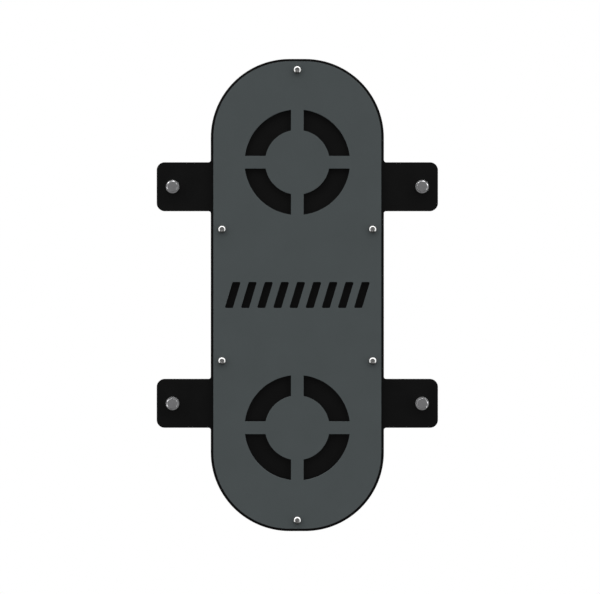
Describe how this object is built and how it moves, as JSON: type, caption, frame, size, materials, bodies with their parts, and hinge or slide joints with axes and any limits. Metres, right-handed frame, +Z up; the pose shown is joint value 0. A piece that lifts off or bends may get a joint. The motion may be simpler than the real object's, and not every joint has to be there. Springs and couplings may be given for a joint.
{
  "type": "kick plate",
  "caption": "Flat pill-shaped steel kick plate: a grey panel with cut-out targets screwed to a black back plate, whose side lugs bolt to a training rig.",
  "frame": {"origin": "centre of the back plate's rear face, midway between the four lugs and in the plane of their rear faces", "axes": "+Z up along the plate's long side, +Y out of the back towards the rig, so the targets face -Y; +X to the right seen from the front"},
  "size_m": [0.3574, 0.0353, 0.6],
  "materials": {
    "back_plate": "black fine-texture powder coat on laser-cut mild steel",
    "front_panel": "matt graphite grey powder coat on laser-cut mild steel",
    "face_screw": "bright stainless steel, polished dome and dull socket",
    "mount_bolt": "zinc-plated steel, satin grey head",
    "washer": "zinc-plated steel",
    "nut": "zinc-plated steel",
    "nylon": "natural nylon locking ring"
  },
  "bodies": {
    "root": {"back_plate": "back_plate", "front_panel": "front_panel", "face_screw_top": "face_screw", "face_screw_upper_left": "face_screw", "face_screw_upper_right": "face_screw", "face_screw_lower_left": "face_screw", "face_screw_lower_right": "face_screw", "face_screw_bottom": "face_screw", "face_washer_top": "washer", "face_washer_upper_left": "washer", "face_washer_upper_right": "washer", "face_washer_lower_left": "washer", "face_washer_lower_right": "washer", "face_washer_bottom": "washer", "face_nut_top": "nut", "face_nut_upper_left": "nut", "face_nut_upper_right": "nut", "face_nut_lower_left": "nut", "face_nut_lower_right": "nut", "face_nut_bottom": "nut", "mount_bolt_upper_left": "mount_bolt", "mount_bolt_upper_right": "mount_bolt", "mount_bolt_lower_left": "mount_bolt", "mount_bolt_lower_right": "mount_bolt", "mount_head_washer_upper_left": "washer", "mount_head_washer_upper_right": "washer", "mount_head_washer_lower_left": "washer", "mount_head_washer_lower_right": "washer", "mount_washer_upper_left": "washer", "mount_washer_upper_right": "washer", "mount_washer_lower_left": "washer", "mount_washer_lower_right": "washer", "mount_nut_upper_left": "nut", "mount_nut_upper_right": "nut", "mount_nut_lower_left": "nut", "mount_nut_lower_right": "nut", "face_nut_ring_top": "nylon", "face_nut_ring_upper_left": "nylon", "face_nut_ring_upper_right": "nylon", "face_nut_ring_lower_left": "nylon", "face_nut_ring_lower_right": "nylon", "face_nut_ring_bottom": "nylon", "mount_nut_ring_upper_left": "nylon", "mount_nut_ring_upper_right": "nylon", "mount_nut_ring_lower_left": "nylon", "mount_nut_ring_lower_right": "nylon"}
  },
  "joints": []
}
